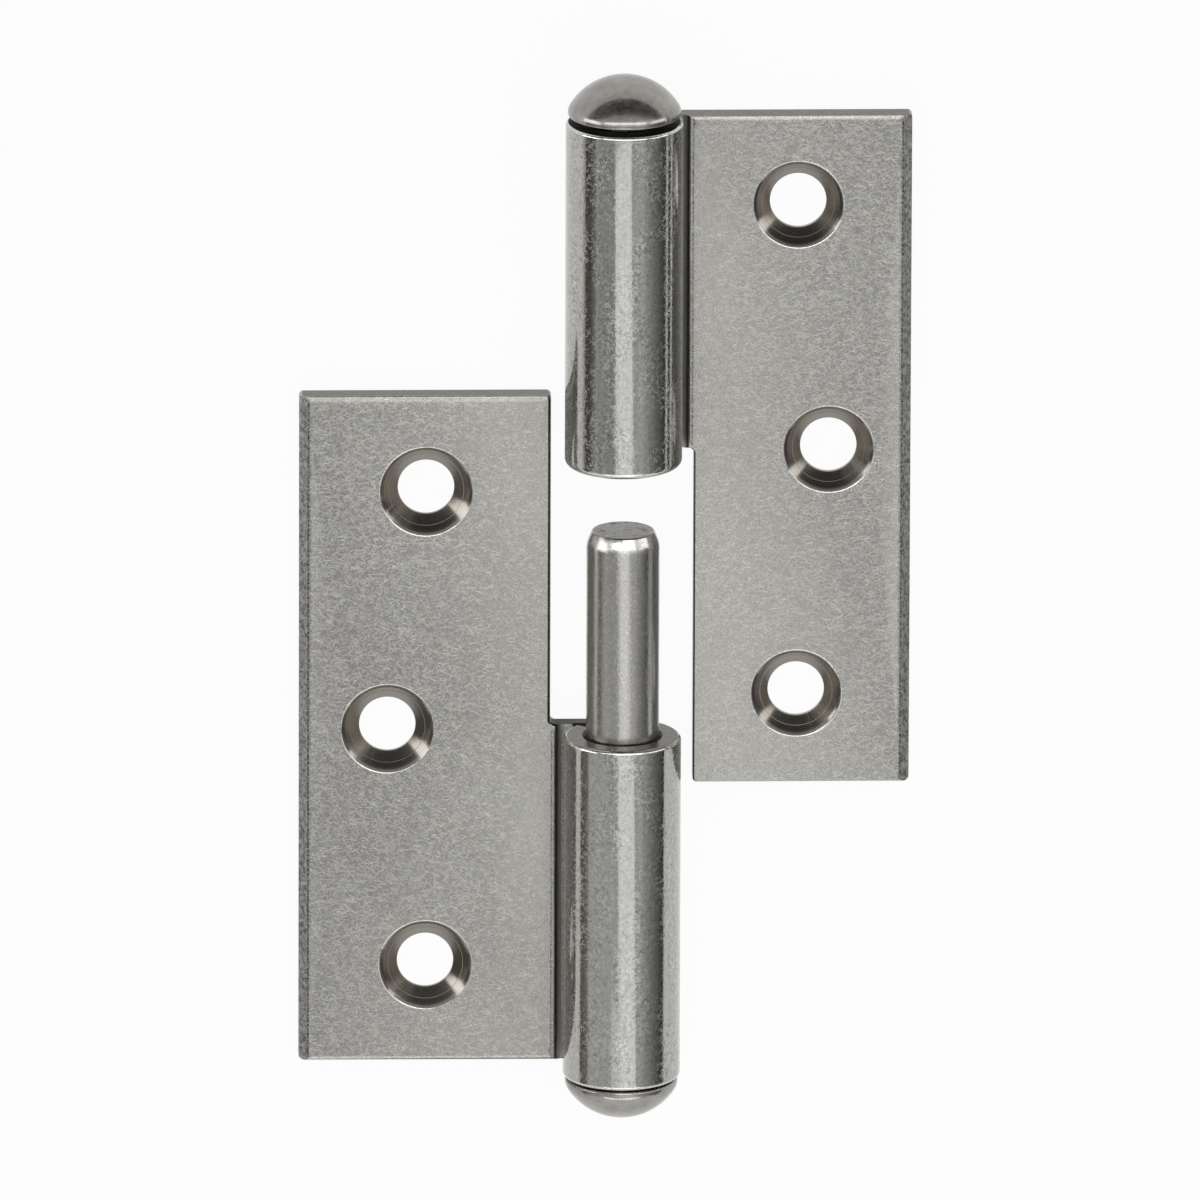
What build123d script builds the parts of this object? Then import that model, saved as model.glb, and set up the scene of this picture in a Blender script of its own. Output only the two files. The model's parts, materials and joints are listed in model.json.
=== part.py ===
from build123d import *
import os
from math import asin, degrees, radians, tan

os.makedirs("parts", exist_ok=True)

# Lift-off hinge with two rolled leaves, built as the halves stand lifted apart.
# X runs across the leaves, Y up the hinge line and Z out from the backs of the leaves.
# The origin is between the outer screw holes of the lower leaf, on its back.
# All sizes are in millimetres.

# Sheet and roll
sheet = 2.5                    # both leaves are stamped from one thickness
bore_radius = 4.25             # inside of the rolled knuckle
seam_gap = 0.2                 # from the curled end to the front of the leaf
knuckle_length = 41.0
trough_width = 2.0             # hollow that the roller pressed beside the knuckle
trough_depth = 0.4

# Leaves
leaf_height = 80.0
lower_reach = 37.1             # hinge line to the outer long edge
upper_reach = 33.1
lower_middle = 0.5             # middle of the leaf, from the bearing face
upper_middle = 0.4
leaf_clearance = 1.45          # from the tongue's long edge to the other knuckle's side
lower_shoulder = 0.1           # the notch stands back from the bearing face
upper_shoulder = 0.6
notch_corner = 0.6
leaf_corner = 0.5
bevel_width = 0.95             # bevel along the outer long edge
bevel_drop = 0.7

# Broken edges
front_edge = 0.2
back_edge = 0.12
lower_notch_edge = 0.4         # front edge round the tongue and the notch
upper_notch_edge = 0.25
lower_bearing_edge = 0.5       # outside edges of the knuckles' ends
lower_foot_edge = 0.6
upper_bearing_edge = 0.9
upper_top_edge = 0.4
lower_mouth = 0.4              # inside edges of the knuckles' ends
upper_mouth = 0.4
foot_mouth = 0.15

# Screw holes
hole_radius = 3.25
lower_sink_radius = 5.35       # countersink at the face of the lower leaf
upper_sink_radius = 5.2
sink_angle = 90.0
sink_ledge = 0.05              # ledge between the two passes of the countersink
sink_ledge_depth = 1.0
lower_spacing = 57.0           # outer holes, along the hinge line
upper_spacing = 58.6
lower_hole_reach = 22.5        # hinge line to the outer holes
upper_hole_reach = 20.1
lower_middle_out = 4.4         # the middle hole stands further out
upper_middle_out = 3.6

# Pin and plug
pin_stand = 24.6               # pin above the lower bearing face
running_gap = 0.05             # around the pin's free end
press_step = 0.6               # the pressed shank steps down this far below the bearing face
tip_lead = 1.5                 # lead-in at the pin's tip
tip_lead_in = 0.62
tip_edge = 0.25
head_radius = 6.5
head_rim = 0.8                 # straight band below the dome
head_edge = 0.35
dome_height = 3.9
pin_head_gap = 0.15            # under the pin's head
plug_head_gap = 0.7            # under the plug's head
plug_shank = 14.0
plug_fit = 0.03                # around the plug's shank
plug_tip_chamfer = 0.6

# Pose in which the hinge is built
lift = 32.5                    # the upper half is lifted this far off its seat

# Worked out from the sizes above
knuckle_radius = bore_radius + sheet
tongue_reach = knuckle_radius + leaf_clearance
trough_reach = tongue_reach - notch_corner
roll_reach = trough_reach - trough_width
curl_sweep = 270 + degrees(asin((bore_radius - seam_gap) / knuckle_radius))
lower_seat = Vector(lower_hole_reach, lower_middle, 0)
upper_seat = lower_seat + Vector(0, lift, 0)
pin_radius = bore_radius - running_gap
plug_radius = bore_radius - plug_fit
dome_radius = (head_radius ** 2 + dome_height ** 2) / (2 * dome_height)

# Planes of each half. The first pair cuts across the hinge line at the bearing face, the second
# looks at the leaf with x out from the hinge line and y away from the bearing face, and the
# third lies in the hinge line in the same way.
lower_across = Plane(origin=lower_seat, x_dir=(1, 0, 0), z_dir=(0, -1, 0))
upper_across = Plane(origin=upper_seat, x_dir=(-1, 0, 0), z_dir=(0, 1, 0))
lower_plan = Plane(origin=lower_seat, x_dir=(-1, 0, 0), z_dir=(0, 0, 1))
upper_plan = Plane(origin=upper_seat, x_dir=(1, 0, 0), z_dir=(0, 0, 1))
lower_line = lower_plan.offset(knuckle_radius)
upper_line = upper_plan.offset(knuckle_radius)


def roll_section(plane):
    """The rolled strip: from beside the leaf, along its back and round the bore to the seam."""
    with BuildSketch(plane) as section:
        with BuildLine():
            bore = CenterArc((0, knuckle_radius), bore_radius, -90, curl_sweep)
            outside = CenterArc((0, knuckle_radius), knuckle_radius, -90, curl_sweep)
            Line(bore @ 1, outside @ 1)
            Polyline(bore @ 0, (-roll_reach, sheet), (-roll_reach, 0), outside @ 0)
        make_face()
    return section.sketch


def leaf_section(plane, reach):
    """The flat leaf, with its bevelled outer edge and the hollow beside the knuckle."""
    with BuildSketch(plane) as section:
        with BuildLine():
            flat = Polyline(
                (-roll_reach, sheet),
                (-roll_reach, 0),
                (-reach, 0),
                (-reach, sheet - bevel_drop),
                (bevel_width - reach, sheet),
                (-trough_reach, sheet),
            )
            hollow = ((-trough_reach - roll_reach) / 2, sheet - trough_depth)
            ThreePointArc(flat @ 1, hollow, flat @ 0)
        make_face()
    return section.sketch


def leaf_outline(plane, reach, middle, shoulder):
    """The leaf seen from the front, with the notch that clears the other knuckle."""
    near_end = middle - leaf_height / 2
    far_end = middle + leaf_height / 2
    with BuildSketch(plane) as outline:
        with BuildLine():
            Polyline(
                (tongue_reach, near_end),
                (reach, near_end),
                (reach, far_end),
                (roll_reach, far_end),
                (roll_reach, shoulder),
                (tongue_reach, shoulder),
                close=True,
            )
        make_face()
        columns = outline.vertices().group_by(Axis.X)
        fillet(columns[-1] + columns[1].sort_by(Axis.Y)[:1], leaf_corner)
        fillet(outline.vertices().sort_by_distance((tongue_reach, shoulder))[0], notch_corner)
    return outline.sketch


def end_run(face, outside):
    """Edges round the outside or the inside of one end of a rolled strip."""
    arcs = face.edges().filter_by(GeomType.CIRCLE).sort_by(SortBy.RADIUS)
    lines = face.edges().filter_by(GeomType.LINE).sort_by(Axis.Z)
    return [arcs[-1], lines[0]] if outside else [arcs[0], lines[2]]


def screw_places(plan, reach, middle, spacing, middle_out):
    """The outer holes in line along the hinge, and the middle one further out."""
    spots = (
        (reach, middle - spacing / 2, sheet),
        (reach + middle_out, middle, sheet),
        (reach, middle + spacing / 2, sheet),
    )
    return Locations(*(plan.from_local_coords(spot) for spot in spots))


def sunk_hole(sink_radius):
    """A countersunk screw hole, opened in two passes with a narrow ledge between them."""
    CounterSinkHole(
        radius=hole_radius,
        counter_sink_radius=sink_radius - sink_ledge,
        counter_sink_angle=sink_angle,
    )
    Cone(
        bottom_radius=sink_radius - sink_ledge_depth * tan(radians(sink_angle / 2)),
        top_radius=sink_radius,
        height=sink_ledge_depth,
        align=(Align.CENTER, Align.CENTER, Align.MAX),
        mode=Mode.SUBTRACT,
    )


def head_section(plane, base):
    """Half of a domed head, standing on its straight band with the dome pointing away."""
    with BuildSketch(plane) as section:
        with BuildLine():
            side = Polyline((0, base), (head_radius, base), (head_radius, base + head_rim))
            crown = Line((0, base + head_rim + dome_height), (0, base))
            RadiusArc(side @ 1, crown @ 0, -dome_radius)
        make_face()
        fillet(section.vertices().sort_by_distance((head_radius, base))[0], head_edge)
    return section.sketch


# Lower leaf: it lies to the left, with its knuckle rolled up at the viewer's side
with BuildPart() as lower_roll:
    extrude(roll_section(lower_across), amount=knuckle_length)
    chamfer(end_run(lower_roll.faces().sort_by(Axis.Y)[-1], False), lower_mouth)
    chamfer(end_run(lower_roll.faces().sort_by(Axis.Y)[0], False), foot_mouth)
    fillet(end_run(lower_roll.faces().sort_by(Axis.Y)[-1], True), lower_bearing_edge)
    fillet(end_run(lower_roll.faces().sort_by(Axis.Y)[0], True), lower_foot_edge)

with BuildPart() as lower_leaf:
    start = lower_across.offset(lower_middle - leaf_height / 2)
    extrude(leaf_section(start, lower_reach), amount=leaf_height)
    outline = leaf_outline(lower_plan, lower_reach, lower_middle, lower_shoulder)
    extrude(outline, amount=sheet, mode=Mode.INTERSECT)
    front = lower_leaf.faces().filter_by(Axis.Z).sort_by(Axis.Z)[-1]
    ends = front.edges().sort_by(Axis.X)[1:-1].sort_by(Axis.Y)
    fillet(ends[0], front_edge)
    fillet(ends[1:], lower_notch_edge)
    back = lower_leaf.faces().sort_by(Axis.Z)[0]
    fillet(back.edges().sort_by(Axis.X)[:-1], back_edge)
    add(lower_roll.part)
    with screw_places(lower_plan, lower_hole_reach, lower_middle, lower_spacing, lower_middle_out):
        sunk_hole(lower_sink_radius)
lower_leaf.part.label = "lower_leaf"
export_step(lower_leaf.part, "parts/lower_leaf.step")

# Upper leaf: it lies to the right, with its knuckle opened wider where it goes over the pin
with BuildPart() as upper_roll:
    extrude(roll_section(upper_across), amount=knuckle_length)
    chamfer(end_run(upper_roll.faces().sort_by(Axis.Y)[-1], False), upper_mouth)
    chamfer(end_run(upper_roll.faces().sort_by(Axis.Y)[0], False), upper_mouth)
    fillet(end_run(upper_roll.faces().sort_by(Axis.Y)[-1], True), upper_top_edge)
    fillet(end_run(upper_roll.faces().sort_by(Axis.Y)[0], True), upper_bearing_edge)

with BuildPart() as upper_leaf:
    start = upper_across.offset(upper_middle - leaf_height / 2)
    extrude(leaf_section(start, upper_reach), amount=leaf_height)
    outline = leaf_outline(upper_plan, upper_reach, upper_middle, upper_shoulder)
    extrude(outline, amount=sheet, mode=Mode.INTERSECT)
    front = upper_leaf.faces().filter_by(Axis.Z).sort_by(Axis.Z)[-1]
    ends = front.edges().sort_by(Axis.X)[1:-1].sort_by(Axis.Y)
    fillet(ends[-1], front_edge)
    fillet(ends[:-1], upper_notch_edge)
    back = upper_leaf.faces().sort_by(Axis.Z)[0]
    fillet(back.edges().sort_by(Axis.X)[1:], back_edge)
    add(upper_roll.part)
    with screw_places(upper_plan, upper_hole_reach, upper_middle, upper_spacing, upper_middle_out):
        sunk_hole(upper_sink_radius)
upper_leaf.part.label = "upper_leaf"
export_step(upper_leaf.part, "parts/upper_leaf.step")

# Hinge pin: pressed into the lower knuckle from its foot, and free above the bearing face
hinge_line = Axis(lower_line.origin, (0, 1, 0))
pin_base = knuckle_length + pin_head_gap
with BuildPart() as hinge_pin:
    with BuildSketch(lower_line):
        with BuildLine():
            Polyline(
                (0, pin_base + head_edge),
                (bore_radius, pin_base + head_edge),
                (bore_radius, press_step),
                (pin_radius, press_step),
                (pin_radius, tip_lead - pin_stand),
                (pin_radius - tip_lead_in, -pin_stand),
                (0, -pin_stand),
                close=True,
            )
        tip = make_face().vertices().sort_by_distance((pin_radius, -pin_stand))[0]
        fillet(tip, tip_edge)
    revolve(axis=hinge_line)
    revolve(head_section(lower_line, pin_base), axis=hinge_line)
hinge_pin.part.label = "hinge_pin"
export_step(hinge_pin.part, "parts/hinge_pin.step")

# Top plug: it closes the upper knuckle's far end and carries the matching dome
plug_base = knuckle_length + plug_head_gap
with BuildPart() as top_plug:
    with BuildSketch(upper_line):
        with BuildLine():
            Polyline(
                (0, plug_base + head_edge),
                (plug_radius, plug_base + head_edge),
                (plug_radius, knuckle_length - plug_shank),
                (0, knuckle_length - plug_shank),
                close=True,
            )
        foot = make_face().vertices().sort_by_distance((plug_radius, knuckle_length - plug_shank))[0]
        chamfer(foot, plug_tip_chamfer)
    revolve(axis=hinge_line)
    revolve(head_section(upper_line, plug_base), axis=hinge_line)
top_plug.part.label = "top_plug"
export_step(top_plug.part, "parts/top_plug.step")
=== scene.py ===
import bpy
import json
from math import atan2, hypot, pi, radians
from mathutils import Euler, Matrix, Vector

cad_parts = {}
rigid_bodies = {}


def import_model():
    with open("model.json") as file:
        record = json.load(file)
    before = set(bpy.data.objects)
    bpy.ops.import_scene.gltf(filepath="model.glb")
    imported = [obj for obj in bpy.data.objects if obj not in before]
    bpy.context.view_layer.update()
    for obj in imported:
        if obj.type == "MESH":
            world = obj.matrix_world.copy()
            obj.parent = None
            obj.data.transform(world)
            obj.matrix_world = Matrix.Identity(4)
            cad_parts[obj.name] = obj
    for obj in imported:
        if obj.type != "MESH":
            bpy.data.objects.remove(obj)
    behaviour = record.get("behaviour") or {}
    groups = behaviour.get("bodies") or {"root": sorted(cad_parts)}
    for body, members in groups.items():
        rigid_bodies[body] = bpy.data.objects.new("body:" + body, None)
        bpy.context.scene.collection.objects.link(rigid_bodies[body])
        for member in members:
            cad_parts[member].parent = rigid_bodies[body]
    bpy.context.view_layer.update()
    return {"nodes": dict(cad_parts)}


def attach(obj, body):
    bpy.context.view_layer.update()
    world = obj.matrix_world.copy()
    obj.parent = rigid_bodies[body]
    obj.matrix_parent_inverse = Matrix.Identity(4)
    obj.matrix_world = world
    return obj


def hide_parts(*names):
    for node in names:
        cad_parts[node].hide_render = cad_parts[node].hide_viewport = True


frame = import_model()

# Lower leaf. One blank of 2.5 mm stainless sheet: the tongue beside the notch stays flat, and the
# strip below the notch is rolled up into the knuckle that holds the pin. It was stamped, rolled,
# countersunk and then tumbled with stones, which leaves a dull grey face full of short scratches.
MM = 0.001
SHEET = 2.5                            # this and all sizes of the pieces are in mm
HINGE_X, HINGE_Z = 22.5, 6.75          # where the hinge line runs
BORE_RADIUS = 4.25
KNUCKLE_RADIUS = 6.75
LOWER_HOLES = ((0.0, -28.5), (-4.4, 0.0), (0.0, 28.5))
LOWER_ENDS = (-39.8, 39.6)             # where the front face ends
LOWER_BURR = -13.43                    # inner edge of the burr beside the bevel
LOWER_NOTCH = 0.45                     # height of the notch's floor
SINK_RADIUS = 5.6                      # a little more than the countersinks
RIM_BREAK = 0.08
SCORE = ((8.15, 0.0), (8.0, -0.05), (7.85, 0.0), (7.72, 0.03))   # out from the hinge line, and rise
RIDGE = ((0.0, 0.0), (0.12, 0.022), (0.24, 0.0))                 # in from the burr, and rise
END_ROLL = ((1.3, 0.0), (0.5, 0.015), (0.2, 0.02), (0.0, 0.06))  # in from an end, and further drop

# kinds of node, and the operations of the arithmetic ones
MATH, RANGE, VECTOR = "ShaderNodeMath", "ShaderNodeMapRange", "ShaderNodeVectorMath"
PLUS, MINUS, TIMES = {"operation": "ADD"}, {"operation": "SUBTRACT"}, {"operation": "MULTIPLY"}
TIMES_PLUS, LARGER = {"operation": "MULTIPLY_ADD"}, {"operation": "MAXIMUM"}
UNSIGNED, LENGTH = {"operation": "ABSOLUTE"}, {"operation": "LENGTH"}


def linear(hex_colour):
    """A linear colour from an sRGB hex value."""
    parts = [int(hex_colour[i:i + 2], 16) / 255 for i in (1, 3, 5)]
    bent = [p / 12.92 if p <= 0.04045 else ((p + 0.055) / 1.055) ** 2.4 for p in parts]
    return (*bent, 1.0)


def plug(node, inputs):
    """Gives each named or numbered input of a node a value, or a link from a node or a socket."""
    for key, value in inputs.items():
        if isinstance(value, bpy.types.Node):
            value = value.outputs[0]
        if isinstance(value, bpy.types.NodeSocket):
            node.id_data.links.new(value, node.inputs[key])
        else:
            node.inputs[key].default_value = value


def add(tree, kind, settings, inputs):
    """Adds a node with its settings, values and links."""
    node = tree.nodes.new(kind)
    for name, value in settings.items():
        setattr(node, name, value)
    plug(node, inputs)
    return node


def new_steel(name, colour, roughness):
    """A stainless steel with the given colour and roughness, ready for its own pattern."""
    material = bpy.data.materials.new(name)
    material.use_nodes = True
    shader = material.node_tree.nodes["Principled BSDF"]
    plug(shader, {"Metallic": 1.0, "Base Color": linear(colour), "Roughness": roughness})
    return material, material.node_tree, shader


def in_mm(tree):
    """Object coordinates in millimetres."""
    place = add(tree, "ShaderNodeTexCoord", {}, {}).outputs["Object"]
    return add(tree, VECTOR, {"operation": "SCALE"}, {"Vector": place, "Scale": 1 / MM})


def noise_of(tree, place, size, turn=0, detail=2.0, distortion=0.0):
    """Noise whose grains have the given size in mm along X, Y and Z, turned in the leaf's plane."""
    laid = add(
        tree, "ShaderNodeMapping", {"vector_type": "TEXTURE"},
        {"Vector": place, "Rotation": (0, 0, radians(turn)), "Scale": size},
    )
    return add(
        tree, "ShaderNodeTexNoise", {},
        {"Vector": laid, "Scale": 1.0, "Detail": detail, "Distortion": distortion},
    )


def hairs(tree, place, turns, length, width, least):
    """Short curved scratches in several directions, between 0 and 1."""
    total = 0.0
    for i, turn in enumerate(turns):
        apart = (7.3 * i, 3.1 * i, 0)      # so that each direction reads its own stretch of the noise
        moved = add(tree, VECTOR, PLUS, {0: place, 1: apart})
        streak = noise_of(tree, moved, (length, width, width), turn, detail=1.0, distortion=1.2)
        deep = add(tree, RANGE, {}, {"Value": streak, "From Min": least, "From Max": least + 0.07})
        total = add(tree, MATH, LARGER, {0: deep, 1: total})
    return total


def squiggles(tree, place, size, thickness, least, apart=0.0):
    """Small curls, as tumbling stones leave them: thin contour lines of a noise, broken up."""
    moved = add(tree, VECTOR, PLUS, {0: place, 1: (apart, apart, apart)})
    swirl = noise_of(tree, moved, (size, size, size), detail=0.0, distortion=0.8)
    level = add(tree, MATH, MINUS, {0: swirl, 1: 0.5})
    level = add(tree, MATH, UNSIGNED, {0: level})
    thin = add(tree, RANGE, {}, {"Value": level, "From Max": thickness, "To Min": 1.0, "To Max": 0.0})
    patches = noise_of(tree, moved, (size, size, size), turn=40, detail=1.0)
    kept = add(tree, RANGE, {}, {"Value": patches, "From Min": least, "From Max": least + 0.06})
    return add(tree, MATH, TIMES, {0: thin, 1: kept})


def weigh(tree, *parts):
    """Adds up patterns, each with its own weight."""
    total = 0.0
    for pattern, weight in parts:
        total = add(tree, MATH, TIMES_PLUS, {0: pattern, 1: weight, 2: total})
    return total


def from_hinge(tree, place):
    """Distance in mm across the leaf from the hinge line, to either side."""
    across = add(tree, "ShaderNodeSeparateXYZ", {}, {"Vector": place}).outputs["X"]
    across = add(tree, MATH, MINUS, {0: across, 1: HINGE_X})
    return add(tree, MATH, UNSIGNED, {0: across})


def tool_rings(tree, reach, per_mm, detail):
    """Rings that a turning tool leaves, from the distance in mm to their middle."""
    line = add(tree, "ShaderNodeCombineXYZ", {}, {"X": reach})
    return add(tree, "ShaderNodeTexNoise", {}, {"Vector": line, "Scale": per_mm, "Detail": detail})


def mark(shader, tone, dark, light, height, depth):
    """Marks a steel: a tone takes it from dark to light, and a height stands up to a depth in mm."""
    tree = shader.id_data
    colour = add(
        tree, "ShaderNodeMix", {"data_type": "RGBA"}, {0: tone, 6: linear(dark), 7: linear(light)},
    ).outputs[2]
    raised = add(tree, "ShaderNodeBump", {}, {"Height": height, "Distance": depth * MM})
    plug(shader, {"Base Color": colour, "Normal": raised})


# tumbled sheet: dull, evenly grey, with short curved scratches every way and faint clouds; the
# scratches are drawn a little wider than they are, so that they show
tumbled, tree, shader = new_steel("stainless sheet, tumbled", "#A2A19D", 0.24)
place = in_mm(tree)
strokes = hairs(tree, place, (5, 36, 68, 97, 129, 160), length=1.0, width=0.12, least=0.63)
patches = noise_of(tree, place, (6.0, 8.0, 6.0))
patches = add(
    tree, RANGE, {},
    {"Value": patches, "From Min": 0.35, "From Max": 0.65, "To Min": 0.85, "To Max": 1.1},
)
strokes = add(tree, MATH, TIMES, {0: strokes, 1: patches})
grain = noise_of(tree, place, (0.18, 0.18, 0.18), detail=1.0)
grain = add(tree, RANGE, {}, {"Value": grain, "From Min": 0.2, "From Max": 0.8})
clouds = noise_of(tree, place, (22.0, 28.0, 22.0), turn=30, detail=1.0)
cover = add(tree, RANGE, {}, {"Value": clouds, "From Min": 0.3, "From Max": 0.7})
tone = weigh(tree, (strokes, 0.45), (grain, 0.20), (cover, 0.10))
mark(shader, tone, "#8D8B86", "#CBC9C4", strokes, 0.009)
dullness = add(
    tree, RANGE, {},
    {"Value": clouds, "From Min": 0.35, "From Max": 0.65, "To Min": 0.22, "To Max": 0.26},
)
plug(shader, {"Roughness": weigh(tree, (dullness, 1.0), (strokes, 0.08))})

# rolled sheet: the mandrel and rollers burnished the outside, and tumbling marked it with curls
# that are drawn a little thicker than they are, so that they show
rolled, tree, shader = new_steel("stainless sheet, rolled", "#A3A2A0", 0.08)
place = in_mm(tree)
worn = noise_of(tree, place, (2.5, 6.0, 2.5), detail=3.0)
worn = add(tree, RANGE, {}, {"Value": worn, "From Min": 0.38, "From Max": 0.6, "To Min": 0.35})
curls = squiggles(tree, place, 0.52, 0.15, 0.42)
curls = add(tree, MATH, TIMES, {0: curls, 1: worn})
nicks = squiggles(tree, place, 0.44, 0.13, 0.46, apart=31.0)
nicks = add(tree, MATH, TIMES, {0: nicks, 1: worn})
mottle = noise_of(tree, place, (0.35, 0.6, 0.35), detail=3.0, distortion=0.6)
streaks = noise_of(tree, place, (0.25, 6.0, 0.25))
marks = weigh(tree, (mottle, 0.30), (streaks, 0.20), (curls, 0.26), (nicks, -0.32))
tone = add(tree, RANGE, {}, {"Value": marks, "From Min": -0.15, "From Max": 0.7})
mark(shader, tone, "#727270", "#D3D1CC", marks, 0.009)
dullness = add(
    tree, RANGE, {},
    {"Value": mottle, "From Min": 0.35, "From Max": 0.65, "To Min": 0.05, "To Max": 0.09},
)
plug(shader, {"Roughness": weigh(tree, (dullness, 1.0), (curls, 0.27))})

# burnished edge: the broken edges of the knuckles and the rims of the countersinks are rubbed smooth;
# their lighter colour is a painted highlight
burnished, tree, shader = new_steel("stainless sheet, burnished edge with painted highlight", "#CBCAC6", 0.14)
rubs = noise_of(tree, in_mm(tree), (0.3, 0.3, 0.3))
tone = add(tree, RANGE, {}, {"Value": rubs, "From Min": 0.3, "From Max": 0.7})
mark(shader, tone, "#ABAAA6", "#D5D4D0", rubs, 0.008)
dullness = add(tree, RANGE, {}, {"Value": tone, "To Min": 0.10, "To Max": 0.20})
plug(shader, {"Roughness": dullness})

# pressed hollow: the roller dragged along it and left it coarse and pale; the dark line along the side
# that faces the leaf is painted shade in the crease there
hollow, tree, shader = new_steel("stainless sheet, pressed hollow", "#B4B3AE", 0.36)
place = in_mm(tree)
drags = noise_of(tree, place, (0.15, 5.0, 0.15), detail=3.0)
even = add(tree, RANGE, {}, {"Value": drags, "From Min": 0.3, "From Max": 0.7, "To Min": 0.7})
# painted shade: darker where the hollow meets the leaf
drags_and_painted_shade = add(
    tree, RANGE, {},
    {"Value": from_hinge(tree, place), "From Min": 7.15, "From Max": 7.45, "To Min": 1.0, "To Max": 0.0},
)
drags_and_painted_shade = add(tree, MATH, TIMES, {0: drags_and_painted_shade, 1: even})
mark(shader, drags_and_painted_shade, "#55544F", "#B0AFAA", drags, 0.02)

# sheared edge: marks of the blanking tool run through the thickness of the sheet
sheared, tree, shader = new_steel("stainless sheet, sheared edge", "#A3A29D", 0.4)
place = in_mm(tree)
streaks = noise_of(tree, place, (0.2, 0.2, 1.6), detail=3.0)
pits = noise_of(tree, place, (0.35, 0.6, 0.35), detail=3.0, distortion=0.5)
marks = weigh(tree, (streaks, 0.5), (pits, 0.5))
tone = add(tree, RANGE, {}, {"Value": marks, "From Min": 0.3, "From Max": 0.7})
mark(shader, tone, "#8D8C88", "#B9B8B3", marks, 0.04)
dullness = add(tree, RANGE, {}, {"Value": tone, "To Min": 0.34, "To Max": 0.46})
plug(shader, {"Roughness": dullness})

# milled bevel: cut after blanking, coarse and pale
bevelled, tree, shader = new_steel("stainless sheet, milled bevel", "#8E8D89", 0.45)
pits = noise_of(tree, in_mm(tree), (0.35, 0.5, 0.35), detail=3.0, distortion=0.8)
tone = add(tree, RANGE, {}, {"Value": pits, "From Min": 0.35, "From Max": 0.65})
mark(shader, tone, "#6A6966", "#B2B1AD", pits, 0.04)

# beside the bevel: a narrow dark line along its edge, broken into dots
rubbed, tree, shader = new_steel("stainless sheet, rubbed burr", "#4A4B4E", 0.35)
dots = noise_of(tree, in_mm(tree), (0.5, 0.28, 0.5))
dots = add(tree, RANGE, {}, {"Value": dots, "From Min": 0.42, "From Max": 0.58})
mark(shader, dots, "#37383A", "#7C7B77", dots, 0.03)

# blanked end: the ends of a leaf and the side of its notch keep a thin brown scale of the press
blanked, tree, shader = new_steel("stainless sheet, blanked end", "#4A473F", 0.3)
marks = noise_of(tree, in_mm(tree), (0.4, 0.4, 0.4), detail=3.0)
tone = add(tree, RANGE, {}, {"Value": marks, "From Min": 0.3, "From Max": 0.7})
mark(shader, tone, "#4B4840", "#6C685E", marks, 0.02)

# end under the plug: near black, as painted shade for the narrow gap under the plug's head
painted_gap_shade, tree, shader = new_steel("stainless sheet, painted shade under the plug", "#1C1B1A", 0.6)
marks = noise_of(tree, in_mm(tree), (0.4, 0.4, 0.4), detail=3.0)
plug(shader, {"Normal": add(tree, "ShaderNodeBump", {}, {"Height": marks, "Distance": 0.03 * MM})})

# notch floor: painted shade for the notch, from the finish of the knuckle's end near the hinge line to
# near black further out
notched, tree, shader = new_steel("stainless sheet, notch floor with painted shade", "#2C2A27", 0.45)
place = in_mm(tree)
marks = noise_of(tree, place, (0.4, 0.4, 0.4), detail=3.0)
painted_shade_fade = add(
    tree, RANGE, {},
    {"Value": from_hinge(tree, place), "From Min": 0.5, "From Max": 7.0, "To Min": 1.0, "To Max": 0.0},
)
mark(shader, painted_shade_fade, "#1C1B1A", "#5C584F", marks, 0.03)

# countersink: turned after blanking, so it keeps the rings of the cutter and a warmer tone; its colour
# is darkened as painted shade in the recess
sunk, tree, shader = new_steel("stainless sheet, countersunk", "#857F77", 0.10)
hole = add(tree, "ShaderNodeUVMap", {"uv_map": "from hole"}, {})
reach = add(tree, VECTOR, LENGTH, {0: hole}).outputs["Value"]
rings = tool_rings(tree, reach, per_mm=11.0, detail=3.0)
tone = add(tree, RANGE, {}, {"Value": rings, "From Min": 0.3, "From Max": 0.7})
mark(shader, tone, "#76716A", "#98938C", rings, 0.006)
dullness = add(tree, RANGE, {}, {"Value": tone, "To Min": 0.15, "To Max": 0.21})
round_hole = add(tree, "ShaderNodeTangent", {"direction_type": "UV_MAP", "uv_map": "round hole"}, {})
plug(shader, {"Roughness": dullness, "Anisotropic": 0.3, "Tangent": round_hole})

# bore: rolled round a mandrel and dull; its near-black colour is painted shade inside the knuckle
bore_with_painted_shade, tree, shader = new_steel("stainless sheet, bore", "#34332F", 0.4)
marks = noise_of(tree, in_mm(tree), (0.3, 4.0, 0.3))
plug(shader, {"Normal": add(tree, "ShaderNodeBump", {}, {"Height": marks, "Distance": 0.02 * MM})})

SMOOTH_BELOW = radians(28)
WELD = 0.00001                         # in metres
TOUCH, NEAR = 0.01, 0.02               # how close counts as the same place


def working_copy(node, name):
    """A copy of a CAD node with its doubles merged, which is then worked on in its place."""
    bpy.ops.object.select_all(action="DESELECT")
    source = frame["nodes"][node]
    source.select_set(True)
    bpy.context.view_layer.objects.active = source
    bpy.ops.object.duplicate()
    piece = bpy.context.object
    piece.name = piece.data.name = name
    bpy.ops.object.parent_clear(type="CLEAR_KEEP_TRANSFORM")
    bpy.ops.mesh.customdata_custom_splitnormals_clear()
    bpy.ops.object.mode_set(mode="EDIT")
    bpy.ops.mesh.select_all(action="SELECT")
    bpy.ops.mesh.remove_doubles(threshold=WELD)
    bpy.ops.object.mode_set(mode="OBJECT")
    piece.data.materials.clear()
    return piece


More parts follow.
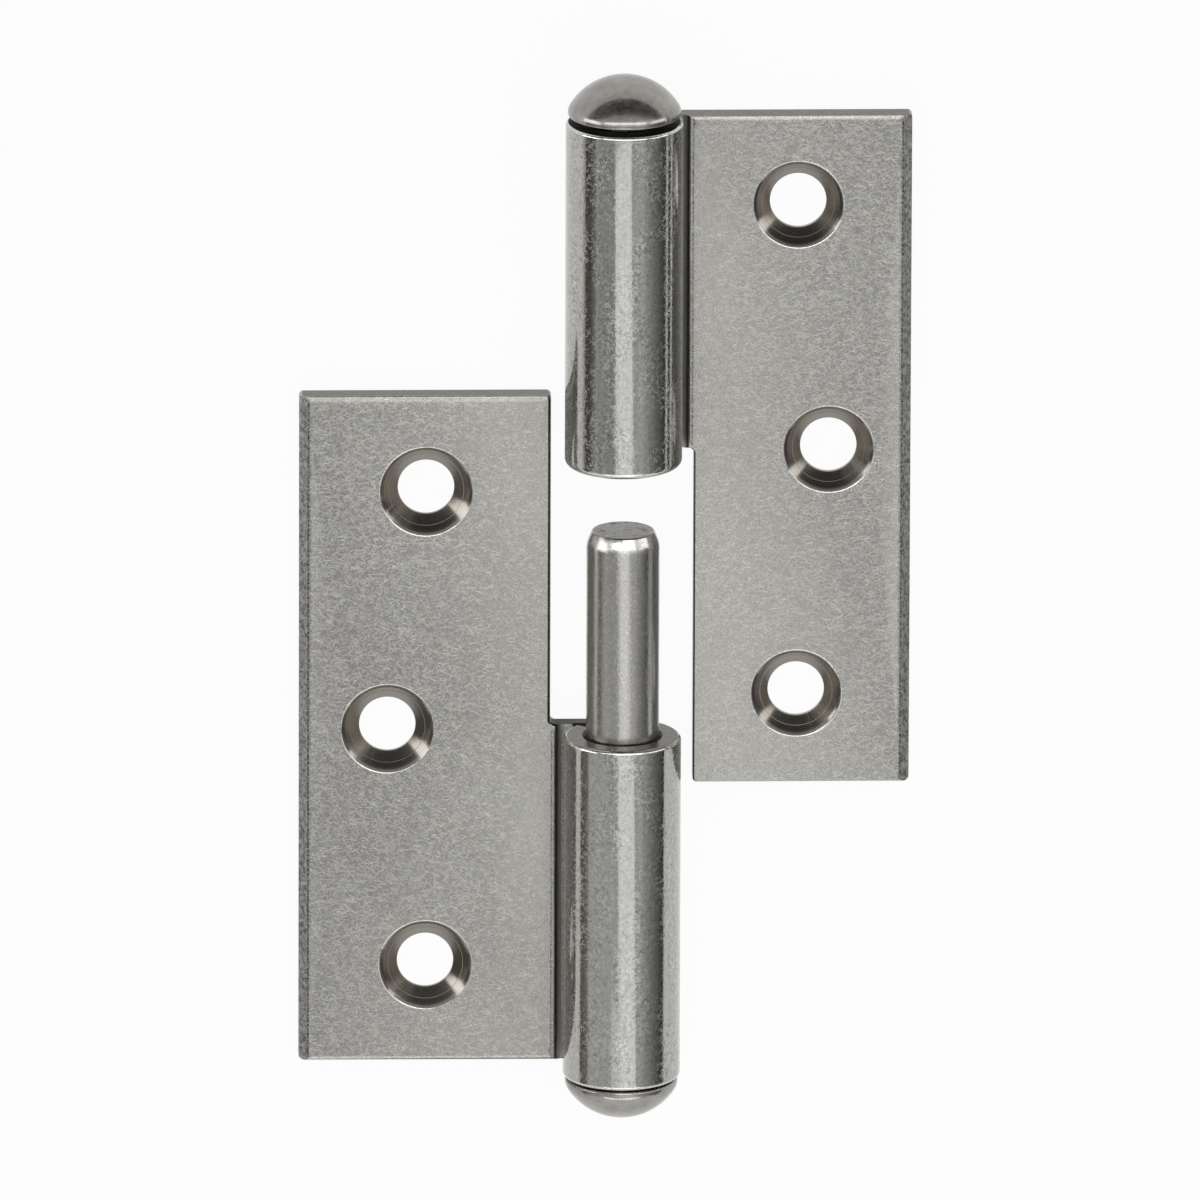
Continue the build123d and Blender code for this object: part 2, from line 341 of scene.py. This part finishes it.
def finish_faces(piece, material, test):
    """Gives a material to the faces whose middle in mm and normal pass the test."""
    bpy.ops.object.mode_set(mode="OBJECT")
    bpy.context.tool_settings.mesh_select_mode = (False, False, True)
    piece.data.materials.append(material)
    for face in piece.data.polygons:
        face.select = test(face.center / MM, face.normal)
    piece.active_material_index = len(piece.data.materials) - 1
    bpy.ops.object.mode_set(mode="EDIT")
    bpy.ops.object.material_slot_assign()
    bpy.ops.object.mode_set(mode="OBJECT")


def shade(piece):
    """Smooth curves and true flats, with the sharp edges kept."""
    bpy.ops.object.shade_smooth_by_angle(angle=SMOOTH_BELOW, keep_sharp_edges=False)
    bpy.ops.object.modifier_add(type="WEIGHTED_NORMAL")
    weighted = piece.modifiers[-1]
    weighted.mode = "FACE_AREA_WITH_ANGLE"
    weighted.weight = 100
    weighted.keep_sharp = True
    bpy.ops.object.modifier_apply(modifier=weighted.name)


def from_line(point):
    """Distance in mm of a point from the hinge line."""
    return hypot(point.x - HINGE_X, point.z - HINGE_Z)


def nearest_hole(point, holes):
    """The hole whose middle is nearest to a point."""
    return min(holes, key=lambda hole: hypot(point.x - hole[0], point.y - hole[1]))


def by_hole(point, holes):
    """Whether a point is inside the outline of a countersink."""
    hole = nearest_hole(point, holes)
    return hypot(point.x - hole[0], point.y - hole[1]) < SINK_RADIUS


def cut(piece, place, across, test):
    """Cuts the faces that pass the test along a plane through a place in mm, across an axis."""
    bpy.ops.object.mode_set(mode="OBJECT")
    bpy.context.tool_settings.mesh_select_mode = (False, False, True)
    for face in piece.data.polygons:
        face.select = test(face.center / MM, face.normal)
    bpy.ops.object.mode_set(mode="EDIT")
    bpy.ops.mesh.bisect(plane_co=[v * MM for v in place], plane_no=across)
    bpy.ops.object.mode_set(mode="OBJECT")


def pick(piece, test):
    """Selects the corners whose place in mm passes the test, and leaves the piece in edit mode."""
    bpy.ops.object.mode_set(mode="EDIT")
    bpy.context.tool_settings.mesh_select_mode = (True, False, False)
    bpy.ops.mesh.select_all(action="DESELECT")
    bpy.ops.object.mode_set(mode="OBJECT")
    for vertex in piece.data.vertices:
        vertex.select = test(vertex.co / MM)
    bpy.ops.object.mode_set(mode="EDIT")


def raise_corners(piece, rise, test):
    """Raises the corners whose place in mm passes the test, or lowers them."""
    pick(piece, test)
    bpy.ops.transform.translate(value=(0, 0, rise * MM))
    bpy.ops.object.mode_set(mode="OBJECT")


def round_edges(piece, width, steps, test):
    """Rounds the edges between the corners whose place in mm passes the test."""
    pick(piece, test)
    bpy.context.tool_settings.mesh_select_mode = (False, True, False)
    bpy.ops.mesh.bevel(offset=width * MM, segments=steps, affect="EDGES")
    bpy.ops.object.mode_set(mode="OBJECT")


# where the surfaces of a leaf lie, for telling them apart
HOLLOW_START, HOLLOW_END = 6.8, 7.6    # the pressed hollow, out from the hinge line
HOLLOW_LOW = 0.5                       # the hollow is all higher than this
FRONT_CORNERS = 1.8                    # past the hollow, only the front face has corners above this
BURR_DEPTH = 0.3                       # the burr is all nearer to the front face than this
CURL_START, BORE_END = 0.5, 0.3        # out from the bore's wall: the knuckle's outside, and its bore
KNUCKLE_RIM = 6.0                      # outside this radius lie the broken edges of a knuckle
NOTCH_SIDE = 11.0                      # the notch's side is nearer to the hinge line than this
NOTCH_CORNER = 0.7                     # a little more than the rounded corner of the notch's floor
PLUG_SEAT = 73.0                       # only the end under the plug is higher than this
RIM_DEPTH, RIM_TOP = 0.1, 0.005        # the rim of a countersink, down from the front face
CLEAR, PAST_LINE = 0.05, 0.1           # how far clear of a surface, and past the hinge line

# how much of a face's normal points along an axis
FLAT, SQUARE, LEANING, SLANTED = 0.99, 0.95, 0.9, 0.5
RIM_LEAN = (0.8, 0.98)
TILTED, TURNED, HARDLY = 0.3, 0.2, 0.15


def on_face(point, normal):
    """Whether a point is on the leaf's flat front face."""
    return normal.z > FLAT and abs(point.z - SHEET) < NEAR


def press_end(piece, side, end, way):
    """Rounds the front face down towards one of its ends, as the punch does."""
    def beyond(v, step):
        past_step = (v.y - end) * way > -step - TOUCH
        return v.z > FRONT_CORNERS and past_step and (v.x - HINGE_X) * side > HOLLOW_END - TOUCH
    for step, _ in END_ROLL[:-1]:
        cut(piece, (0, end - way * step, SHEET), (0, 1, 0), on_face)
    for step, drop in END_ROLL[1:]:
        raise_corners(piece, -drop, lambda v: beyond(v, step))


def score(piece, lines):
    """Draws fine grooves and ridges along the leaf: each line has its place across and its rise."""
    for place, _ in lines:
        cut(piece, (place, 0, SHEET), (1, 0, 0), on_face)
    for place, rise in lines:
        if rise:
            raise_corners(piece, rise, lambda v: abs(v.x - place) < TOUCH and abs(v.z - SHEET) < NEAR)


def map_holes(piece, holes):
    """Lays a flat map out from each hole, and one that runs round it for the lines of the cutter."""
    flat = piece.data.uv_layers.new(name="from hole")
    rounds = piece.data.uv_layers.new(name="round hole")
    for face in piece.data.polygons:
        hole = nearest_hole(face.center / MM, holes)
        middle = atan2(face.center.y / MM - hole[1], face.center.x / MM - hole[0])
        for corner in face.loop_indices:
            spot = piece.data.vertices[piece.data.loops[corner].vertex_index].co / MM
            out, up = spot.x - hole[0], spot.y - hole[1]
            aside = (atan2(up, out) - middle + pi) % (2 * pi) - pi
            flat.data[corner].uv = (out, up)
            rounds.data[corner].uv = (hypot(out, up) + spot.z, middle + aside)


def dress_leaf(node, name, holes, side, ends, burr, notch):
    """A leaf with its faces, edges, countersinks, knuckle and bore each in their own finish."""
    piece = working_copy(node, name)
    round_edges(piece, RIM_BREAK, 1, lambda v: by_hole(v, holes) and abs(v.z - SHEET) < NEAR)
    score(piece, [(HINGE_X + side * out, rise) for out, rise in SCORE])
    score(piece, [(burr - side * in_by, rise) for in_by, rise in RIDGE])
    press_end(piece, side, ends[0], -1)
    press_end(piece, side, ends[1], 1)

    def on_edge(p, n):
        return abs(n.z) < LEANING and p.z < SHEET

    def on_bevel(p, n):
        return SLANTED < n.z < LEANING and n.x * side > TILTED and (p.x - burr) * side > 0

    def on_burr(p, n):
        return n.z > SQUARE and (p.x - burr) * side > 0 and p.z > SHEET - BURR_DEPTH

    def on_curl(p, n):
        past_sheet = p.z > SHEET + CLEAR or (p.x - HINGE_X) * side < -PAST_LINE
        return past_sheet and from_line(p) > BORE_RADIUS + CURL_START

    def in_hollow(p, n):
        across = HOLLOW_START < (p.x - HINGE_X) * side < HOLLOW_END + CLEAR
        return across and p.z > HOLLOW_LOW and n.z > TILTED

    def on_broken_edge(p, n):
        return on_curl(p, n) and from_line(p) > KNUCKLE_RIM and abs(n.y) > HARDLY

    def beside_notch(p, n):
        below = p.z < SHEET and (p.y - notch) * side < 0
        return below and n.x * side < -TURNED and from_line(p) < NOTCH_SIDE

    def in_notch(p, n):
        low = p.z < SHEET - CLEAR and (p.x - HINGE_X) * side > 0
        return low and abs(n.y) > SLANTED and abs(p.y - notch) < NOTCH_CORNER

    def under_plug(p, n):
        return n.y > SQUARE and p.y > PLUG_SEAT and from_line(p) < KNUCKLE_RADIUS

    def in_hole(p, n):
        return by_hole(p, holes) and NEAR < p.z < SHEET - RIM_TOP

    def on_rim(p, n):
        return in_hole(p, n) and p.z > SHEET - RIM_DEPTH and RIM_LEAN[0] < n.z < RIM_LEAN[1]

    finish_faces(piece, tumbled, lambda p, n: True)
    finish_faces(piece, sheared, on_edge)
    finish_faces(piece, bevelled, on_bevel)
    finish_faces(piece, rubbed, on_burr)
    finish_faces(piece, rolled, on_curl)
    finish_faces(piece, hollow, in_hollow)
    finish_faces(piece, burnished, on_broken_edge)
    finish_faces(piece, blanked, lambda p, n: abs(n.y) > SQUARE or beside_notch(p, n))
    finish_faces(piece, notched, in_notch)
    finish_faces(piece, painted_gap_shade, under_plug)
    finish_faces(piece, bore_with_painted_shade, lambda p, n: from_line(p) < BORE_RADIUS + BORE_END)
    finish_faces(piece, sunk, in_hole)
    finish_faces(piece, burnished, on_rim)
    map_holes(piece, holes)
    shade(piece)
    return piece


lower_leaf = dress_leaf(
    "lower_leaf", "lower_leaf_steel", LOWER_HOLES, -1, LOWER_ENDS, LOWER_BURR, LOWER_NOTCH,
)
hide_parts("lower_leaf")
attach(lower_leaf, "lower_half")

# Upper leaf. The same work on a slightly narrower blank, and the knuckle rolled the other way, so
# that the two halves meet on one hinge line.
UPPER_HOLES = ((42.6, 4.1), (46.2, 33.4), (42.6, 62.7))
UPPER_ENDS = (-6.4, 73.2)
UPPER_BURR = 54.43
UPPER_NOTCH = 33.3
upper_leaf = dress_leaf(
    "upper_leaf", "upper_leaf_steel", UPPER_HOLES, 1, UPPER_ENDS, UPPER_BURR, UPPER_NOTCH,
)
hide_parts("upper_leaf")
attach(upper_leaf, "upper_half")

# Hinge pin. Turned from drawn stainless bar and pressed into the lower knuckle. The shank keeps fine
# lengthwise lines under a frost of small marks, and the domed head is turned and tumbled smooth.
PIN_RADIUS = 4.2
PIN_HEAD_Y = -40.6                     # where the head starts
PIN_LEAD_Y = 10.0                      # above this, only the lead-in's edge is at the full radius
PIN_END_Y = 25.0                       # only the parted end is higher than this
PIN_DOME_Y = -41.45                    # where its dome stands on the head's straight band
HEAD_RADIUS = 6.5
LEAD_ROUND, PIN_HEAD_ROUND = 0.5, 0.42

# drawn bar: lines along the shank, with curls from tumbling and duller stretches between
drawn, tree, shader = new_steel("stainless bar, drawn", "#A6A49D", 0.32)
place = in_mm(tree)
lines = noise_of(tree, place, (0.2, 6.0, 0.2), detail=3.0)
frost = noise_of(tree, place, (0.28, 0.4, 0.28), detail=3.0, distortion=0.6)
curls = squiggles(tree, place, 0.45, 0.10, 0.46)
marks = weigh(tree, (lines, 0.2), (frost, 0.4), (curls, 0.25))
tone = add(tree, RANGE, {}, {"Value": marks, "From Min": 0.1, "From Max": 0.75})
mark(shader, tone, "#9C9A95", "#C6C4BF", marks, 0.016)
dullness = noise_of(tree, place, (1.5, 4.0, 1.5), detail=3.0)
dullness = add(
    tree, RANGE, {},
    {"Value": dullness, "From Min": 0.35, "From Max": 0.65, "To Min": 0.18, "To Max": 0.27},
)
plug(shader, {"Roughness": dullness})

# parted end: faced off flat, and stained where the parting tool left a pip
parted, tree, shader = new_steel("stainless bar, parted end", "#8C8A85", 0.35)
place = in_mm(tree)
grain = noise_of(tree, place, (0.3, 0.3, 0.3), detail=3.0)
stains = noise_of(tree, place, (1.6, 1.6, 1.1), distortion=0.8)
stains = add(tree, RANGE, {}, {"Value": stains, "From Min": 0.36, "From Max": 0.44, "To Min": 0.1})
faced = add(tree, MATH, TIMES, {0: grain, 1: stains})
mark(shader, faced, "#3E3C38", "#AAA8A2", faced, 0.02)

# turned head: rings of the tool under fine scratches, rubbed smooth and a little cloudy
turned, tree, shader = new_steel("stainless bar, turned and tumbled", "#93918C", 0.13)
place = in_mm(tree)
centred = add(tree, VECTOR, MINUS, {0: place, 1: (HINGE_X, 0, HINGE_Z)})
parts = add(tree, "ShaderNodeSeparateXYZ", {}, {"Vector": centred})
level = add(tree, "ShaderNodeCombineXYZ", {}, {"X": parts.outputs["X"], "Y": parts.outputs["Z"]})
reach = add(tree, VECTOR, LENGTH, {0: level}).outputs["Value"]
rings = tool_rings(tree, reach, per_mm=8.0, detail=2.0)
fine = hairs(tree, place, (10, 60, 110, 160), length=0.6, width=0.08, least=0.62)
clouds = noise_of(tree, place, (1.5, 1.5, 1.5), detail=3.0)
marks = weigh(tree, (rings, 0.4), (clouds, 0.6))
tone = add(tree, RANGE, {}, {"Value": marks, "From Min": 0.3, "From Max": 0.7})
mark(shader, tone, "#827F7A", "#A2A09B", weigh(tree, (marks, 1.0), (fine, 0.4)), 0.007)
dullness = add(
    tree, RANGE, {},
    {"Value": clouds, "From Min": 0.35, "From Max": 0.65, "To Min": 0.10, "To Max": 0.16},
)
plug(shader, {"Roughness": dullness})


def on_ring(point, height, radius):
    """Whether a corner is at a height, on or outside a radius round the hinge line."""
    return abs(point.y - height) < NEAR and from_line(point) > radius - NEAR


hinge_pin = working_copy("hinge_pin", "hinge_pin_steel")
finish_faces(hinge_pin, drawn, lambda p, n: True)
finish_faces(hinge_pin, turned, lambda p, n: p.y < PIN_HEAD_Y)
finish_faces(hinge_pin, parted, lambda p, n: p.y > PIN_END_Y and n.y > SQUARE)
round_edges(hinge_pin, LEAD_ROUND, 5, lambda v: v.y > PIN_LEAD_Y and from_line(v) > PIN_RADIUS - NEAR)
round_edges(hinge_pin, PIN_HEAD_ROUND, 5, lambda v: on_ring(v, PIN_DOME_Y, HEAD_RADIUS))
shade(hinge_pin)
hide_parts("hinge_pin")
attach(hinge_pin, "lower_half")

# Top plug. A turned dome on a short shank, pressed into the open end of the upper knuckle, with
# the same finish as the pin's head.
PLUG_DOME_Y = 75.5                     # where the dome stands on its straight band
PLUG_HEAD_ROUND = 0.3
top_plug = working_copy("top_plug", "top_plug_steel")
finish_faces(top_plug, turned, lambda p, n: True)
round_edges(top_plug, PLUG_HEAD_ROUND, 4, lambda v: on_ring(v, PLUG_DOME_Y, HEAD_RADIUS))
shade(top_plug)
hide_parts("top_plug")
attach(top_plug, "top_plug")

# Table. A sheet of white paper under the hinge, lit by the room and by the lamps, which keeps a
# soft shadow. Where it is seen, directly or in the steel, most of its white is a glow of its own.
TABLE_SIZE = 8.0                       # this and all sizes of the studio are in metres
TABLE_DROP = 0.00002
TABLE_GLOW = 0.94
bpy.ops.object.select_all(action="DESELECT")
bpy.ops.mesh.primitive_plane_add(size=TABLE_SIZE, location=(0, 0, -TABLE_DROP))
table = bpy.context.object
table.name = "table"
paper = bpy.data.materials.new("white paper")
paper.use_nodes = True
tree = paper.node_tree
tree.nodes.clear()
ray = add(tree, "ShaderNodeLightPath", {}, {})
seen = add(tree, MATH, LARGER, {0: ray.outputs["Is Camera Ray"], 1: ray.outputs["Is Glossy Ray"]})
seen = add(tree, MATH, LARGER, {0: seen, 1: ray.outputs["Is Transmission Ray"]})
part = add(tree, MATH, TIMES, {0: seen, 1: TABLE_GLOW})
dull = add(tree, "ShaderNodeBsdfDiffuse", {}, {"Color": linear("#F2F2F2")})
bright = add(tree, "ShaderNodeEmission", {}, {"Color": linear("#FFFFFF"), "Strength": 1.0})
mixed = add(tree, "ShaderNodeMixShader", {}, {0: part, 1: dull, 2: bright})
add(tree, "ShaderNodeOutputMaterial", {}, {"Surface": mixed})
table.data.materials.append(paper)

# Studio. An even pale room, one long soft lamp over the hinge line with a small one beside it, and
# grey and white cards round about, out of sight, that draw the dark and bright bands on the steel.
LAMP_HEIGHT = 0.080
STRIP_X, STRIP_Y, STRIP_TURN = 0.0325, -0.0350, radians(10)
STRIP_WIDTH, STRIP_LENGTH, STRIP_RADIANCE = 0.040, 0.182, 0.67
CORNER_X, CORNER_Y = 0.0130, -0.0690
CORNER_SIZE, CORNER_RADIANCE = 0.034, 0.42

world = bpy.data.worlds.new("studio")
bpy.context.scene.world = world
world.use_nodes = True
plug(world.node_tree.nodes["Background"], {"Color": linear("#D6D7D8"), "Strength": 1.0})


def hang_lamp(name, x, y, turn, width, length, radiance):
    """A soft lamp over the hinge, with the same brightness all over, that the camera can't see."""
    bpy.ops.object.light_add(type="AREA", location=(x, y, LAMP_HEIGHT), rotation=(0, 0, turn))
    lamp = bpy.context.object
    lamp.name = name
    lamp.data.shape = "RECTANGLE"
    lamp.data.size, lamp.data.size_y = width, length
    lamp.data.energy = radiance * pi * width * length
    lamp.visible_camera = False


hang_lamp(
    "strip lamp", STRIP_X, STRIP_Y, STRIP_TURN, STRIP_WIDTH, STRIP_LENGTH, STRIP_RADIANCE,
)
hang_lamp("corner lamp", CORNER_X, CORNER_Y, 0, CORNER_SIZE, CORNER_SIZE, CORNER_RADIANCE)

WHITE = "#FFFFFF"
LYING, OVERHEAD = (0, 0, 0), (180, 0, 0)       # turns of the cards, in degrees
FACING_ALONG, FACING_ACROSS = (90, 0, 0), (90, 0, 90)


def card(name, place, turn, width, height, low, high, start=0.0, level=1.0):
    """A card that shows only in reflections, fading between two colours from a height upwards."""
    bpy.ops.object.select_all(action="DESELECT")
    bpy.ops.mesh.primitive_plane_add(size=1.0, location=place, rotation=[radians(v) for v in turn])
    made = bpy.context.object
    made.name = name
    made.scale = (width, height, 1.0)
    made.visible_camera = False
    made.visible_diffuse = False
    made.visible_shadow = False
    material = bpy.data.materials.new(name)
    material.use_nodes = True
    tree = material.node_tree
    tree.nodes.clear()
    spot = add(tree, "ShaderNodeTexCoord", {}, {}).outputs["UV"]
    up = add(tree, "ShaderNodeSeparateXYZ", {}, {"Vector": spot}).outputs["Y"]
    share = add(tree, RANGE, {}, {"Value": up, "From Min": start})
    colour = add(
        tree, "ShaderNodeMix", {"data_type": "RGBA"}, {0: share, 6: linear(low), 7: linear(high)},
    ).outputs[2]
    glow = add(tree, "ShaderNodeEmission", {}, {"Color": colour, "Strength": level})
    add(tree, "ShaderNodeOutputMaterial", {}, {"Surface": glow})
    made.data.materials.append(material)


card("back card", (0.02, 0.40, 0.115), FACING_ALONG, 1.40, 0.23, "#424241", "#A0A09E", start=0.6)
card("front card", (0.02, -0.50, 0.14), FACING_ALONG, 1.20, 0.26, WHITE, WHITE, level=1.1)
card("front strip card", (0.02, -0.44, 0.35), OVERHEAD, 0.64, 0.16, WHITE, WHITE, level=2.8)
card("low right card", (0.100, 0.045, 0.003), LYING, 0.070, 0.110, "#4C4944", "#4C4944")
card("near left card", (-0.066, 0.010, 0.110), OVERHEAD, 0.108, 0.090, "#B7B8B9", "#B7B8B9")
card("left card", (-0.33, -0.17, 0.062), FACING_ACROSS, 0.16, 0.124, "#706B62", "#98928A")
card("far left card", (-0.33, -0.02, 0.14), FACING_ACROSS, 0.14, 0.19, "#66615A", "#A5A6A8", start=0.45)
card("right card", (0.38, -0.10, 0.285), FACING_ACROSS, 0.40, 0.53, "#404246", "#DFE0E1")
card("overhead card", (0.02, 0.11, 0.35), OVERHEAD, 0.64, 0.10, WHITE, WHITE, level=1.5)
card("overhead strip card", (0.02, 0.22, 0.35), OVERHEAD, 0.64, 0.12, WHITE, WHITE, level=3.6)
card("left strip card", (-0.45, 0.15, 0.20), FACING_ACROSS, 0.22, 0.40, WHITE, WHITE, level=3.2)
card("right strip card", (0.50, 0.17, 0.20), FACING_ACROSS, 0.22, 0.40, WHITE, WHITE, level=2.5)

# Camera. A long lens, several metres above the table, leaning over from beyond the hinge's top end.
CAMERA_LENS, CAMERA_SENSOR = 1200.0, 36.0      # in millimetres
CAMERA_DISTANCE, CAMERA_REACH = 4.60, 20.0
CAMERA_TILT, CAMERA_SWING, CAMERA_ROLL = 17.1, 1.5, 0.2
CAMERA_AIM = Vector((0.02005, 0.01464, 0))
turn = Euler((radians(-CAMERA_TILT), radians(-CAMERA_SWING), radians(CAMERA_ROLL)), "ZXY")
back = turn.to_matrix() @ Vector((0, 0, 1))
bpy.ops.object.camera_add(location=CAMERA_AIM + back * CAMERA_DISTANCE)
camera = bpy.context.object
camera.rotation_mode = "ZXY"
camera.rotation_euler = turn
camera.data.lens, camera.data.sensor_width = CAMERA_LENS, CAMERA_SENSOR
camera.data.clip_end = CAMERA_REACH
bpy.context.scene.camera = camera

bpy.context.scene.view_settings.view_transform = "Standard"
